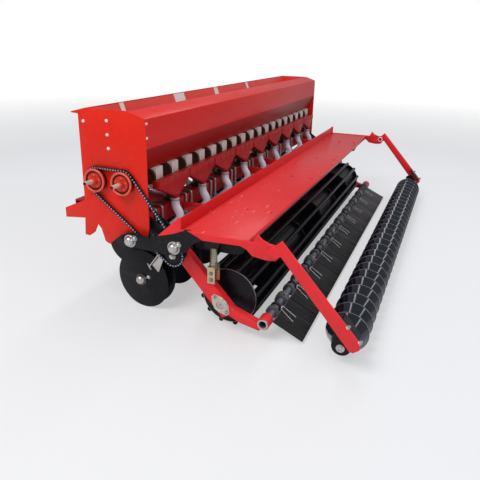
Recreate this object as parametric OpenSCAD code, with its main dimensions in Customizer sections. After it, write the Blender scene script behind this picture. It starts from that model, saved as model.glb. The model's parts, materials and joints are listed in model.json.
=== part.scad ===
// Eighteen-row mounted seed drill with a cage roller, a flap row and a ring roller behind it.
// Millimetres, +X to the right across the machine, +Y forward, +Z up, on the ground at z = 0.

/* [Hopper] */
// Depth of the hopper, front edge to rear edge
hopper_dep = 395; // [340:5:480]
// Height of the hopper's rim above the ground
rim_z = 1134; // [1080:2:1240]
// Thickness of the hopper's sheet
sheet_t = 4; // [3:0.5:6]
// Thickness of the end plates
plate_t = 6; // [4:1:10]
// Width of the sloping rear rim strip
rear_rim = 95; // [60:5:120]
// Width of the sloping front rim strip
front_rim = 46; // [30:2:80]
// Drop of the rim strips
rim_drop = 32; // [15:1:45]

/* [Metering] */
// Number of rows
rows = 18; // [12:2:20]
// Distance between rows
row_pitch = 166; // [150:1:176]
// Distance from the end plates' outer faces to the outer rows
side_margin = 162; // [156:1:200]
// Width of one metering unit
meter_w = 64; // [50:2:90]
// Diameter of the metering shafts
meter_shaft_d = 20; // [12:1:26]
// Height of the metering shafts above the ground
meter_shaft_z = 772; // [760:1:790]

/* [Frame] */
// Height of the rear beam's axis
beam_z = 570; // [540:5:600]
// Side of the square beams
beam_s = 90; // [70:5:110]
// Wall of the square beams
beam_wall = 8; // [5:1:12]

/* [Openers] */
// Diameter of the opener discs
disc_d = 350; // [300:10:380]
// Thickness of a disc
disc_t = 4; // [3:0.5:6]
// Toe angle of each disc of a pair
disc_toe = 6; // [3:0.5:8]
// Diameter of the discs of the front row
lead_disc_d = 300; // [240:10:340]
// Height of the hubs of the front row
lead_hub_z = 300; // [200:5:330]
// Diameter of the stub axles
stub_d = 24; // [16:1:32]

/* [Rollers] */
// Diameter of the cage roller over its bars
cage_d = 348; // [300:4:380]
// Number of bars of the cage roller
cage_bars = 12; // [8:1:14]
// Diameter of the rings of the rear roller
ring_d = 220; // [180:5:260]
// Number of rings of the rear roller
ring_count = 27; // [20:1:40]
// Length of the flaps
flap_len = 215; // [150:5:260]
// Number of flaps
flap_count = 10; // [6:1:14]

/* [Hitch] */
// Spread of the lower link pins, shoulder to shoulder
lower_spread = 825; // [683:1:965]
// Diameter of the lower link pins
lower_pin_d = 28; // [22:1:37]
// Height of the top link hole above the lower pins
mast_height = 540; // [460:5:685]
// Diameter of the top link hole
top_hole_d = 25.5; // [19:0.5:32]

/* [Hidden] */
$fn = 48;

hopper_len = (rows - 1) * row_pitch + 2 * side_margin;

// Seats: flat faces of neighbours stand this far apart, and shafts run with this clearance
seat = 0.3;
run_c = 0.05;

// The model is drawn from the left end plate and from the hopper's rear face, then centred
ring_y = -1030;
hitch_y = 620;
lug_r = 45;
y_mid = (hitch_y + lug_r + ring_y - ring_d / 2) / 2;

// Openers: the rear row under the odd drill rows, the front row under the even ones
units = rows / 2;
function row_x(i) = side_margin + i * row_pitch;
function rear_x(k) = row_x(2 * k);
function lead_x(k) = row_x(2 * k + 1);
function funnel_x(k) = (rear_x(k) + lead_x(k)) / 2;
hub_y = 143;
hub_z = disc_d / 2;
disc_gap = 5;
disc_half = disc_d / 2 * sin(disc_toe) + disc_t / 2 + disc_gap / 2;
lead_hub_y = 350;
boss_r = 32;
boss_len = 9;

// Beams
rear_beam_y = 20;
front_beam_y = 430;
beam_low = beam_z - beam_s / 2;
beam_top = beam_z + beam_s / 2;
rail_s = 60;
rail_x = [for (i = [1, rows / 2 - 2, rows / 2, rows - 3]) row_x(i) + row_pitch / 2];

// Metering
trough_z = 835;
seed_y = 135;
feed_y = 298;
meter_low = 740;
shaft_out = 110;
chain_x = -16;
chain_w = 8;
top_sprocket_r = 58;
low_sprocket_r = 50;
chain_h = 0.4;
chain_t = 12;
guard_x = -30;
guard_t = 4;

// Roller arm: pivot, bend, roller axle and end
pivot = [-145, 427];
bar_turn = 12.6;
cage_at = [-385, cage_d / 2 * cos(bar_turn)];
tube_at = [-620, 108];
arm_x = 54;
arm_w = 46;
arm_gap = 5;
pivot_r = 20;
jack_r = 12;
cage_axle_r = 20;
flap_tube_r = 24;
cage_in = 158;

// Plank and rear arms
plank_z = 585;
plank_t = 5;
side_x = -53;
side_t = 12;
strut_at = [-75, 500];
strut_r = 14;
swing = [-700, 562];
swing_r = 15;
ring_at = [ring_y, ring_d / 2];
rear_arm_x = side_x - 17;
rear_arm_t = 12;
ring_shaft_r = 15;

function seg_n(a, b) = [a[1] - b[1], b[0] - a[0]] / norm(b - a);
function mitre(m, n) = (m + n) / (1 + m * n);
function edge_n(p, i) =
    i == 0 ? seg_n(p[0], p[1])
    : i == len(p) - 1 ? seg_n(p[i - 1], p[i])
    : mitre(seg_n(p[i - 1], p[i]), seg_n(p[i], p[i + 1]));
// Outline of a sheet of thickness t folded along the path p
function folded(p, t) = concat(p, [for (i = [len(p) - 1 : -1 : 0]) p[i] + t * edge_n(p, i)]);

// Plate cut from an outline in Y and Z, from x to x + t
module plate_x(x, t) {
    translate([x, 0, 0]) rotate([90, 0, 90]) linear_extrude(t) children();
}
// Round bar along X
module rod_x(x0, x1, at, r) {
    translate([x0, at[0], at[1]]) rotate([0, 90, 0]) cylinder(h = x1 - x0, r = r);
}
// Block between two corners
module block(a, b) {
    translate(a) cube(b - a);
}
// Round pipe through a list of points
module pipe(pts, r) {
    for (i = [0 : len(pts) - 2]) {
        d = pts[i + 1] - pts[i];
        translate(pts[i])
            rotate([0, acos(d[2] / norm(d)), atan2(d[1], d[0])])
                cylinder(h = norm(d), r = r, $fn = 24);
    }
    for (i = [1 : 1 : len(pts) - 2]) translate(pts[i]) sphere(r = 1.02 * r, $fn = 24);
}
// The same thing at both ends of the machine
module both_ends() {
    children();
    translate([hopper_len, 0, 0]) mirror([1, 0, 0]) children();
}
// Everything is centred on the ground by this
module place() {
    translate([-hopper_len / 2, -y_mid, 0]) children();
}

// Hopper section: upright walls down to belly_z, sloped to a trough each side of the middle ridge
belly_z = 955;
ridge_z = 925;
slope_y = 40;
slope_z = 850;
trough_y = 45;
trough_w = 115;
hopper_path = [
    [rear_rim, rim_z], [0, rim_z - rim_drop], [0, belly_z], [slope_y, slope_z], [trough_y, trough_z],
    [trough_y + trough_w, trough_z], [hopper_dep / 2, ridge_z],
    [hopper_dep - trough_y - trough_w, trough_z], [hopper_dep - trough_y, trough_z],
    [hopper_dep - slope_y, slope_z], [hopper_dep, belly_z],
    [hopper_dep, rim_z - rim_drop], [hopper_dep - front_rim, rim_z]];

// Hollow lip along the front rim, drawn solid
lip_out = 44;
lip_drop = 24;
lip_edge = 5;
lip_root = 14;
lip_tip = [hopper_dep + lip_out, rim_z - lip_drop];
lip_heel = lip_tip - [3, lip_edge];
lip_path = [
    [hopper_dep - sheet_t, rim_z - rim_drop], [hopper_dep, rim_z - rim_drop], lip_heel,
    lip_tip, [hopper_dep - front_rim, rim_z], [hopper_dep - front_rim, rim_z - sheet_t],
    [hopper_dep - sheet_t, rim_z - rim_drop + lip_root]];

module hopper_shell() {
    color("orangered")
        plate_x(plate_t + seat, hopper_len - 2 * plate_t - 2 * seat) {
            polygon(folded(hopper_path, sheet_t));
            polygon(lip_path);
        }
}

divider_gap = 15;
divider_h = 150;
module hopper_divider() {
    color("firebrick")
        plate_x(plate_t + 2 * seat, hopper_len - 2 * plate_t - 4 * seat)
            translate([(hopper_dep - sheet_t) / 2, ridge_z + divider_gap]) square([sheet_t, divider_h]);
}

module end_outline() {
    polygon([
        [0, rim_z - rim_drop], [0, 549], [15, 478], [150, 470], [197, 466], [252, 417],
        [278, 430], [300, 500], [320, 522], [345, 471], [381, 445], [410, 448],
        [hopper_dep + 6, 560], [hopper_dep, 645], [hopper_dep, rim_z - rim_drop],
        lip_heel, lip_tip, [hopper_dep - front_rim, rim_z], [rear_rim, rim_z]]);
}

// Boxed nose in front of the end plate
nose_x = 70;
nose_y = 531;
module nose_outline(y) {
    polygon([[y, 545], [nose_y, 531], [nose_y, 585], [y, 640]]);
}

module end_plate() {
    difference() {
        plate_x(0, plate_t) end_outline();
        rod_x(-1, plate_t + 1, [seed_y, meter_shaft_z], meter_shaft_d / 2 + run_c);
        rod_x(-1, plate_t + 1, [feed_y, meter_shaft_z], meter_shaft_d / 2 + run_c);
    }
    plate_x(plate_t, nose_x - plate_t) nose_outline(hopper_dep + 6);
    plate_x(0, plate_t) nose_outline(hopper_dep);
}

module left_plate() {
    color("orangered") end_plate();
}

module right_plate() {
    color("orangered") translate([hopper_len, 0, 0]) mirror([1, 0, 0]) end_plate();
}

module beam(y, x0, x1) {
    difference() {
        block([x0, y, beam_low], [x1, y + beam_s, beam_top]);
        block([x0 - 1, y + beam_wall, beam_low + beam_wall],
              [x1 + 1, y + beam_s - beam_wall, beam_top - beam_wall]);
    }
}

module frame_beams() {
    color("darkred") {
        beam(rear_beam_y, plate_t + seat, hopper_len - plate_t - seat);
        beam(front_beam_y, nose_x + seat, hopper_len - nose_x - seat);
    }
}

module frame_rails() {
    color("darkred")
        for (x = rail_x)
            block([x - rail_s / 2, rear_beam_y + beam_s + seat, beam_z - rail_s / 2],
                  [x + rail_s / 2, front_beam_y - seat, beam_z + rail_s / 2]);
}

lower_z = 480;
mast_gap = 52;
mast_t = 20;
module mast_plate() {
    difference() {
        union() {
            plate_x(0, mast_t)
                polygon([[front_beam_y + beam_s + seat, beam_low], [front_beam_y + beam_s + 90, beam_low],
                         [hitch_y + 30, lower_z + mast_height - 10],
                         [hitch_y - 40, lower_z + mast_height + 15],
                         [front_beam_y + beam_s + seat, beam_top]]);
            rod_x(0, mast_t, [hitch_y - 5, lower_z + mast_height], lug_r);
        }
        rod_x(-1, mast_t + 1, [hitch_y - 5, lower_z + mast_height], top_hole_d / 2);
    }
}

module hitch_mast() {
    color("firebrick") {
        for (x = [hopper_len / 2 - mast_gap / 2 - mast_t, hopper_len / 2 + mast_gap / 2])
            translate([x, 0, 0]) mast_plate();
        block([hopper_len / 2 - mast_gap / 2, front_beam_y + beam_s + 20, beam_z - 20],
              [hopper_len / 2 + mast_gap / 2, front_beam_y + beam_s + 60, beam_z + 20]);
    }
}

link_t = 20;
lower_pin_len = 95;
// Lower link bracket with its pin to the right of the plate's outer face
module lower_link() {
    plate_x(-link_t, link_t)
        polygon([[front_beam_y + beam_s + seat, beam_low], [hitch_y, lower_z - lug_r + 5],
                 [hitch_y + 10, lower_z + 40], [front_beam_y + beam_s + seat, beam_top]]);
    rod_x(-link_t, 0, [hitch_y, lower_z], lug_r);
    rod_x(-link_t, lower_pin_len, [hitch_y, lower_z], lower_pin_d / 2);
    block([-link_t - 60, front_beam_y + beam_s + seat, beam_z - 20],
          [-link_t, front_beam_y + beam_s + 60, beam_z + 20]);
}

module lower_links() {
    color("firebrick") {
        translate([hopper_len / 2 + lower_spread / 2, 0, 0]) lower_link();
        translate([hopper_len / 2 - lower_spread / 2, 0, 0]) mirror([1, 0, 0]) lower_link();
    }
}

// One metering unit between its outer and inner sides, ribbed outside, with a round cup on its left face
meter_rib = 5;
cup_r = 42;
cup_t = 12;
module meter(y_out, y_in, y_shaft) {
    s = sign(y_in - y_out);
    difference() {
        union() {
            plate_x(-meter_w / 2, meter_w)
                polygon([[y_out + s * meter_rib, trough_z - 65], [y_out + s * meter_rib, trough_z - seat],
                         [y_in - s * 22, trough_z - seat], [y_in, 800], [y_in, meter_low + 20],
                         [y_in - s * 20, meter_low], [y_out + s * 36, meter_low]]);
            for (i = [0 : 3])
                translate([(i - 1.5) * meter_w / 4.2 - meter_rib / 2, 0, 0])
                    plate_x(0, meter_rib)
                        polygon([[y_out, trough_z - 65], [y_out, trough_z - seat],
                                 [y_out + s * (meter_rib + 1), trough_z - seat],
                                 [y_out + s * (meter_rib + 1), trough_z - 65]]);
            rod_x(-meter_w / 2 - cup_t, -meter_w / 2 + 1, [y_out + s * 47, meter_low + 45], cup_r);
        }
        rod_x(-meter_w, meter_w, [y_shaft, meter_shaft_z], meter_shaft_d / 2 + run_c);
    }
}

meter_rear = 22;
module seed_meters() {
    color("antiquewhite")
        for (i = [0 : rows - 1]) translate([row_x(i), 0, 0]) meter(meter_rear, 178, seed_y);
}

module feed_meters() {
    color("antiquewhite")
        for (i = [0 : rows - 1])
            translate([row_x(i), 0, 0]) meter(hopper_dep - meter_rear, 217, feed_y);
}

// Chain wheel with pointed teeth
tooth_h = 8;
module sprocket(at, r, teeth) {
    translate([chain_x, at[0], at[1]])
        rotate([90, 0, 90])
            linear_extrude(chain_w)
                polygon([for (i = [0 : 2 * teeth - 1])
                             (r - tooth_h * (i % 2)) * [cos(180 * i / teeth), sin(180 * i / teeth)]]);
}

// Metering shaft with its sprocket and flanged wheel outside the left end plate
wheel_x = -33;
wheel_t = 10;
wheel_r = 61;
wheel_rim = 9;
wheel_dish = 20;
hub_r = 20;
hub_out = 14;
knob_r = 30;
module meter_shaft(y) {
    at = [y, meter_shaft_z];
    rod_x(-shaft_out, hopper_len + shaft_out, at, meter_shaft_d / 2);
    sprocket(at, top_sprocket_r, 18);
    difference() {
        rod_x(wheel_x, wheel_x + wheel_t, at, wheel_r);
        rod_x(wheel_x - 1, wheel_x + wheel_t / 2, at, wheel_r - wheel_rim);
    }
    rod_x(wheel_x, wheel_x + wheel_t, at, wheel_r - wheel_dish);
    rod_x(wheel_x - hub_out, chain_x + 2, at, hub_r);
    rod_x(hopper_len + 20, hopper_len + 40, at, knob_r);
}

module seed_shaft() {
    color("firebrick") meter_shaft(seed_y);
}

module feed_shaft() {
    color("firebrick") meter_shaft(feed_y);
}

// Loop round the three sprockets, as wheels [centre y, centre z, radius] taken anticlockwise
function wheels(grow) = [
    [pivot[0], pivot[1], low_sprocket_r + grow],
    [feed_y, meter_shaft_z, top_sprocket_r + grow],
    [seed_y, meter_shaft_z, top_sprocket_r + grow]];
// Angle at which the outer tangent from wheel a to wheel b leaves wheel a
function leave(a, b) =
    atan2(b[1] - a[1], b[0] - a[0]) - 90
    + asin((b[2] - a[2]) / norm([b[0] - a[0], b[1] - a[1]]));
function turn(a) = a < 0 ? a + 360 : a;
function loop_points(w, n) = [
    for (i = [0 : len(w) - 1])
        let (a0 = leave(w[(i + len(w) - 1) % len(w)], w[i]),
             da = turn(leave(w[i], w[(i + 1) % len(w)]) - a0))
            for (j = [0 : n]) [w[i][0], w[i][1]] + w[i][2] * [cos(a0 + da * j / n), sin(a0 + da * j / n)]];

module drive_chain() {
    color("midnightblue")
        plate_x(chain_x - 2, chain_w + 4)
            difference() {
                polygon(loop_points(wheels(chain_h + chain_t), 24));
                polygon(loop_points(wheels(chain_h), 24));
            }
}

module jackshaft() {
    color("dimgray") {
        rod_x(chain_x - 3, arm_x + arm_w + 40, pivot, jack_r);
        sprocket(pivot, low_sprocket_r, 15);
        rod_x(chain_x - 3, chain_x + chain_w + 8, pivot, 22);
    }
}

// Cover over the chain's lower run, on two studs from the end plate and round the plank's strut
guard_path = [
    [188, 461], [161, 491], [120, 512], [85, 520], [19, 512], [-22, 511], [-82, 541], [-169, 566],
    [-196, 526], [-198, 495], [-183, 465], [-148, 445], [-108, 441], [-19, 436], [90, 436], [170, 430]];
guard_studs = [[100, 492], [150, 482]];
stud_r = 6;
module chain_guard() {
    color("dimgray") {
        difference() {
            plate_x(guard_x, guard_t) polygon(guard_path);
            rod_x(guard_x - 1, guard_x + guard_t + 1, strut_at, strut_r + seat);
        }
        for (at = guard_studs) {
            rod_x(guard_x - 4, -seat, at, stud_r);
        }
    }
}

// Hanger under the plank for the head of a lift screw
hang_y = -331;
hang_x = arm_x + arm_w / 2;
hang_out = 32;
hang_t = 8;
hang_half = 70;
hang_low = 478;
module hanger() {
    for (x = [hang_x - hang_out, hang_x + hang_out - hang_t])
        plate_x(x, hang_t)
            polygon([[hang_y - hang_half, plank_z - 12], [hang_y + hang_half, plank_z - 12],
                     [hang_y + hang_half / 2, hang_low], [hang_y - hang_half / 2, hang_low]]);
    block([hang_x - hang_out, hang_y - hang_half, plank_z - 20],
          [hang_x + hang_out, hang_y + hang_half, plank_z - plank_t - seat]);
}

module arm_brackets() {
    color("dimgray")
        both_ends() {
            difference() {
                union() {
                    for (x = [arm_x - arm_gap - side_t, arm_x + arm_w + arm_gap]) {
                        plate_x(x, side_t)
                            polygon([[rear_beam_y - seat, beam_low], [rear_beam_y - seat, beam_top - 20],
                                     [pivot[0] - 30, pivot[1] + 35], [pivot[0] - 30, pivot[1] - 30],
                                     [pivot[0] + 30, pivot[1] - 36]]);
                        rod_x(x, x + side_t, pivot, 46);
                    }
                    rod_x(arm_x - arm_gap - side_t, arm_x + arm_w + arm_gap + side_t, pivot, pivot_r);
                }
                rod_x(arm_x - 40, arm_x + arm_w + 40, pivot, jack_r + run_c);
            }
            hanger();
        }
}

// Funnels under two metering units each: a strip along the meters, drawn in to a spout at spout_y
funnel_t = 43;
funnel_gap = 3;
strip_low = 735;
strip_top = 775;
spout_h = 30;
spout_z = 648;
spout_r = 19;
module funnel_row(y, spout_y) {
    half = row_pitch - funnel_gap;
    for (k = [0 : units - 1])
        translate([funnel_x(k), 0, 0]) {
            block([-half, y, strip_low], [half, y + funnel_t, strip_top]);
            hull() {
                block([-half, y, strip_low], [half, y + funnel_t, strip_low + 1]);
                block([-spout_r, spout_y - spout_r, spout_z + spout_h / 2],
                      [spout_r, spout_y + spout_r, spout_z + spout_h / 2 + 1]);
            }
            translate([0, spout_y, spout_z]) cylinder(h = spout_h, r = spout_r);
        }
}

rear_spout_y = -16;
front_spout_y = hopper_dep - 37;
module rear_funnels() {
    color("firebrick") funnel_row(meter_rear - seat - funnel_t, rear_spout_y);
}

module front_funnels() {
    color("firebrick") funnel_row(hopper_dep - meter_rear + seat, front_spout_y);
}

hose_r = 24;
boot_top = 372;
boot_y = 83;
lead_boot_y = 258;
lead_boot_z = 400;
lead_boot_x = 35;
module rear_hoses() {
    color("thistle")
        for (k = [0 : units - 1])
            pipe([[funnel_x(k), rear_spout_y, spout_z - seat], [funnel_x(k), rear_spout_y, spout_z - 40],
                  [funnel_x(k), rear_spout_y - 26, 530], [rear_x(k), boot_y, boot_top + 70],
                  [rear_x(k), boot_y, boot_top]],
                 hose_r);
}

module front_hoses() {
    color("thistle")
        for (k = [0 : units - 1])
            pipe([[funnel_x(k), front_spout_y, spout_z - seat], [funnel_x(k), front_spout_y, spout_z - 40],
                  [lead_x(k) + lead_boot_x, lead_boot_y, lead_boot_z + 60],
                  [lead_x(k) + lead_boot_x, lead_boot_y, lead_boot_z]],
                 hose_r);
}

// Shank of a double disc opener, with its boot between the discs and a stub axle to each side
module opener_shank() {
    block([-15, rear_beam_y + beam_s + seat, 230], [15, rear_beam_y + beam_s + 42, beam_top + 30]);
    plate_x(-7, 14)
        polygon([[60, 60], [115, 40], [170, 150], [170, 260], [60, 300]]);
    block([-15, 52, 240], [15, 114, boot_top - seat]);
    for (s = [-1, 1])
        translate([s * disc_half, hub_y, hub_z])
            rotate([0, 90, s * disc_toe])
                translate([0, 0, s > 0 ? -disc_half : -14])
                    cylinder(h = disc_half + 14, r = stub_d / 2);
}

module opener_shanks() {
    color("dimgray")
        for (k = [0 : units - 1]) translate([rear_x(k), 0, 0]) opener_shank();
}

// Domed cap over the end of a hub
cap_r = 28;
module hub_cap() {
    intersection() {
        sphere(r = cap_r);
        cylinder(h = cap_r, r = cap_r + 1);
    }
}

module disc_at(k, s) {
    color("dimgray")
        translate([rear_x(k) + s * disc_half, hub_y, hub_z])
            rotate([0, 90, s * disc_toe])
                difference() {
                    union() {
                        translate([0, 0, -disc_t / 2]) cylinder(h = disc_t, r = disc_d / 2, $fn = 96);
                        translate([0, 0, s > 0 ? 0 : -boss_len - 10]) cylinder(h = boss_len + 10, r = boss_r);
                        rotate([0, s > 0 ? 0 : 180, 0]) translate([0, 0, boss_len + 10]) hub_cap();
                    }
                    translate([0, 0, s > 0 ? -20 : -15]) cylinder(h = 35, r = stub_d / 2 + run_c);
                }
}

module lead_shanks() {
    color("dimgray")
        for (k = [0 : units - 1])
            translate([lead_x(k), 0, 0]) {
                plate_x(12, 16)
                    polygon([[front_beam_y - 40, beam_low - seat], [front_beam_y + beam_s, beam_low - seat],
                             [front_beam_y + 20, beam_low - 90], [lead_hub_y + 30, lead_hub_z - 25],
                             [lead_hub_y - 30, lead_hub_z - 25], [225, 330], [225, lead_boot_z - seat],
                             [290, lead_boot_z - seat], [lead_hub_y, lead_hub_z + 90]]);
                rod_x(-10, 14, [lead_hub_y, lead_hub_z], stub_d / 2);
            }
}

module lead_disc(k) {
    color("dimgray")
        translate([lead_x(k), 0, 0])
            difference() {
                union() {
                    rod_x(-disc_t / 2, disc_t / 2, [lead_hub_y, lead_hub_z], lead_disc_d / 2, $fn = 96);
                    rod_x(-19, 8, [lead_hub_y, lead_hub_z], boss_r);
                    translate([-19, lead_hub_y, lead_hub_z]) rotate([0, -90, 0]) hub_cap();
                }
                rod_x(-10 - seat, 30, [lead_hub_y, lead_hub_z], stub_d / 2 + run_c);
            }
}

// Clamp castings: on the rear beam's top for the rear row, on the front beam's rear face for the front row
module shank_clamps() {
    color("darkgreen")
        for (k = [0 : units - 1]) {
            translate([lead_x(k), 0, 0]) {
                block([-50, rear_beam_y + 4, beam_top + seat], [40, rear_beam_y + 60, beam_top + 20]);
                block([-34, rear_beam_y + 10, beam_top + 10], [24, rear_beam_y + 44, beam_top + 38]);
                block([-25, front_beam_y - 18, beam_z - 30], [45, front_beam_y - seat, beam_z + 30]);
            }
        }
}

// Wedge blade outside each left disc, on a bent rod from the shank, with a crossed rod on its face
blade_x = -60;
blade_w = 4;
module scrapers() {
    color("lightgray")
        for (k = [0 : units - 1])
            translate([rear_x(k), 0, 0]) {
                plate_x(blade_x, blade_w)
                    polygon([[56, 290], [9, 349], [-12, 332], [-10, 322], [15, 255], [21, 255]]);
                pipe([[blade_x + 3, 2, 336], [blade_x + 3, 30, 375], [-40, 128, 390],
                      [-15 - seat, 128, 390]], 5);
                pipe([[blade_x - 3, 12, 361], [blade_x - 3, 76, 274]], 4);
                pipe([[blade_x - 3, 84, 296], [blade_x - 3, 62, 262]], 4);
            }
}

plank_front = -207;
plank_rear = -560;
plank_path = [[plank_front, plank_z + 60], [plank_front, plank_z], [plank_rear, plank_z],
              [plank_rear, plank_z - 25]];
module plank() {
    color("crimson")
        plate_x(side_x + side_t + seat, hopper_len - 2 * (side_x + side_t + seat))
            polygon(folded(plank_path, plank_t));
}

module side_outline() {
    polygon([[-62, 520], [-200, 648], [-212, 648], [-212, 588], [-590, 588], [-612, 632], [-635, 608],
             [-675, 592], [-704, 590], [-731, 600], [-721, 534], [-707, 516], [-654, 511], [-589, 520],
             [-558, 549], [-526, 560], [-235, 550], [-90, 470]]);
}

module plank_brackets() {
    color("crimson") {
        both_ends() {
            difference() {
                plate_x(side_x, side_t) side_outline();
                rod_x(side_x - 1, side_x + side_t + 1, swing, swing_r + run_c);
            }
            rod_x(side_x + 1, arm_x - arm_gap - side_t - seat, strut_at, strut_r);
        }
        for (x = rail_x)
            plate_x(x - 6, 12)
                polygon([[rear_beam_y - seat, beam_low], [rear_beam_y - seat, beam_low + 50],
                         [plank_front + 10, plank_z - plank_t - seat],
                         [plank_rear + 20, plank_z - plank_t - seat], [plank_rear + 20, 560]]);
    }
}

module roller_arm_outline() {
    polygon([[-170, 450], [-453, 150], [-616, 96], [-600, 63], [-493, 84], [-427, 112], [-391, 92],
             [-115, 400]]);
    translate(pivot) circle(r = 36);
}

sleeve_r = 34;
flange_t = 8;
module roller_arms() {
    color("crimson")
        both_ends()
            difference() {
                union() {
                    plate_x(arm_x, arm_w) roller_arm_outline();
                    rod_x(arm_x - 14, arm_x + 1, cage_at, 30);
                    plate_x(arm_x - flange_t, flange_t + 1)
                        translate(cage_at)
                            rotate(48)
                                polygon([[-64, -12], [-64, 12], [-24, 38], [24, 38], [64, 12], [64, -12],
                                         [24, -38], [-24, -38]]);
                    rod_x(arm_x - 2, arm_x + arm_w + 18, tube_at, sleeve_r);
                }
                rod_x(0, arm_x + arm_w + 20, pivot, pivot_r + run_c);
                rod_x(0, arm_x + arm_w + 20, cage_at, cage_axle_r + run_c);
                rod_x(0, arm_x + arm_w + 20, tube_at, flap_tube_r + seat);
            }
}

rod_r = 13;
blade_t = 10;
blade_in = 34;
bar_in = 1;
rim_r = cage_d / 2 - 18;
rim_t = 8;
drum_r = rim_r - 31;
cage_bays = 6;
module cage_roller() {
    span = hopper_len - 2 * cage_in;
    color("dimgray") {
        rod_x(arm_x - 12, hopper_len - arm_x + 12, cage_at, cage_axle_r);
        for (i = [0 : cage_bays])
            rod_x(cage_in + i * (span - rim_t) / cage_bays, cage_in + i * (span - rim_t) / cage_bays + rim_t,
                  cage_at, rim_r);
        for (i = [1 : 2 : cage_bays - 1])
            rod_x(cage_in + i * span / cage_bays, cage_in + (i + 1) * span / cage_bays, cage_at, drum_r);
        for (i = [0 : cage_bars - 1])
            translate([cage_in, cage_at[0], cage_at[1]])
                rotate([180 - bar_turn + i * 360 / cage_bars, 0, 0]) {
                    translate([bar_in, -blade_t / 2, rim_r - blade_in])
                        cube([span - 2 * bar_in, blade_t, blade_in + 6]);
                    translate([2 * bar_in, 0, cage_d / 2 - rod_r])
                        rotate([0, 90, 0]) cylinder(h = span - 4 * bar_in, r = rod_r);
                }
    }
}

// Clevis over the arm with the threaded rod that stands up from it
clevis_t = 9.7;
clevis_low = 280;
clevis_top = 372;
clevis_half = 21;
bridge_h = 22;
screw_r = 17;
screw_len = 140;
module lift_screws() {
    color("khaki")
        both_ends() {
            for (x = [arm_x - seat - clevis_t, arm_x + arm_w + seat])
                block([x, hang_y - clevis_half, clevis_low],
                      [x + clevis_t, hang_y + clevis_half, clevis_top]);
            block([arm_x - seat - clevis_t, hang_y - clevis_half, clevis_top - bridge_h],
                  [arm_x + arm_w + seat + clevis_t, hang_y + clevis_half, clevis_top]);
            translate([hang_x, hang_y, clevis_top - 1]) cylinder(h = screw_len + 1, r = screw_r);
        }
}

module flap_tube() {
    color("silver")
        difference() {
            rod_x(arm_x - 6, hopper_len - arm_x + 6, tube_at, flap_tube_r);
            rod_x(arm_x - 7, hopper_len - arm_x + 7, tube_at, flap_tube_r - 6);
        }
}

flap_low = [-826, 12];
flap_in = 124;
flap_t = 8;
flap_root = 30;
eye_r = flap_tube_r + 10;
eye_half = 12;
module flaps() {
    x0 = flap_in;
    pitch = (hopper_len - 2 * x0) / flap_count;
    along = (flap_low - tube_at) / norm(flap_low - tube_at);
    across = [along[1], -along[0]];
    color("dimgray")
        for (i = [0 : flap_count - 1])
            translate([x0 + i * pitch, 0, 0])
                difference() {
                    union() {
                        plate_x(3, pitch - 6)
                            polygon([tube_at + flap_root * along, tube_at + flap_len * along,
                                     tube_at + flap_len * along - flap_t * across,
                                     tube_at + flap_root * along - flap_t * across]);
                        for (x = [0.25, 0.75]) {
                            rod_x(x * pitch - eye_half, x * pitch + eye_half, tube_at, eye_r);
                        }
                    }
                    rod_x(-1, pitch + 1, tube_at, flap_tube_r + run_c);
                }
}

module rear_arm_outline() {
    polygon([[-700, 590], [-736, 625], [-1130, 191], [-1127, 161], [-1099, 140], [-1081, 143], [-735, 547],
             [-700, 534]]);
    translate(swing) circle(r = 28);
    translate(ring_at) circle(r = 32);
    polygon([[-1040, 205], [-1110, 160], [-1058, 105], [-1006, 110], [-990, 150]]);
}

module rear_arms() {
    color("crimson")
        both_ends() {
            difference() {
                plate_x(rear_arm_x, rear_arm_t) rear_arm_outline();
                rod_x(rear_arm_x - 1, rear_arm_x + rear_arm_t + 1, ring_at, ring_shaft_r + run_c);
            }
            rod_x(rear_arm_x - 8, side_x + side_t + 8, swing, swing_r);
        }
}

// One ring: a cone that opens to the right and ends in a rim, seated on the next one
ring_hub_r = 58;
ring_back_r = 70;
module ring_profile(i, pitch) {
    x = i * pitch;
    polygon([[0, x], [ring_hub_r, x], [ring_d / 2 - 3, x + 0.82 * pitch], [ring_d / 2, x + 0.86 * pitch],
             [ring_d / 2 - 2, x + 0.92 * pitch], [ring_back_r, x + pitch], [0, x + pitch]]);
}

ring_in = 60;
module ring_roller() {
    x0 = ring_in;
    pitch = (hopper_len - 2 * x0) / ring_count;
    color("midnightblue") {
        rod_x(rear_arm_x - 6, hopper_len - rear_arm_x + 6, ring_at, ring_shaft_r);
        translate([x0, ring_at[0], ring_at[1]])
            rotate([0, 90, 0])
                rotate_extrude($fn = 72)
                    for (i = [0 : ring_count - 1]) ring_profile(i, pitch);
    }
}

place() hopper_shell();
place() hopper_divider();
place() left_plate();
place() right_plate();
place() frame_beams();
place() frame_rails();
place() arm_brackets();
place() chain_guard();
place() hitch_mast();
place() lower_links();
place() seed_meters();
place() feed_meters();
place() seed_shaft();
place() feed_shaft();
place() drive_chain();
place() jackshaft();
place() rear_funnels();
place() front_funnels();
place() rear_hoses();
place() front_hoses();
place() opener_shanks();
place() lead_shanks();
place() shank_clamps();
place() scrapers();
place() plank();
place() plank_brackets();
place() roller_arms();
place() cage_roller();
place() lift_screws();
place() flap_tube();
place() flaps();
place() rear_arms();
place() ring_roller();
for (k = [0 : units - 1]) {
    place() disc_at(k, -1);
    place() disc_at(k, 1);
    place() lead_disc(k);
}
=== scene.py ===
# Seed drill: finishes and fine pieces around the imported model. Metres, Z up, the ground at z = 0.
import json
import math

import bmesh
import bpy
from mathutils import Matrix, Vector


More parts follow.
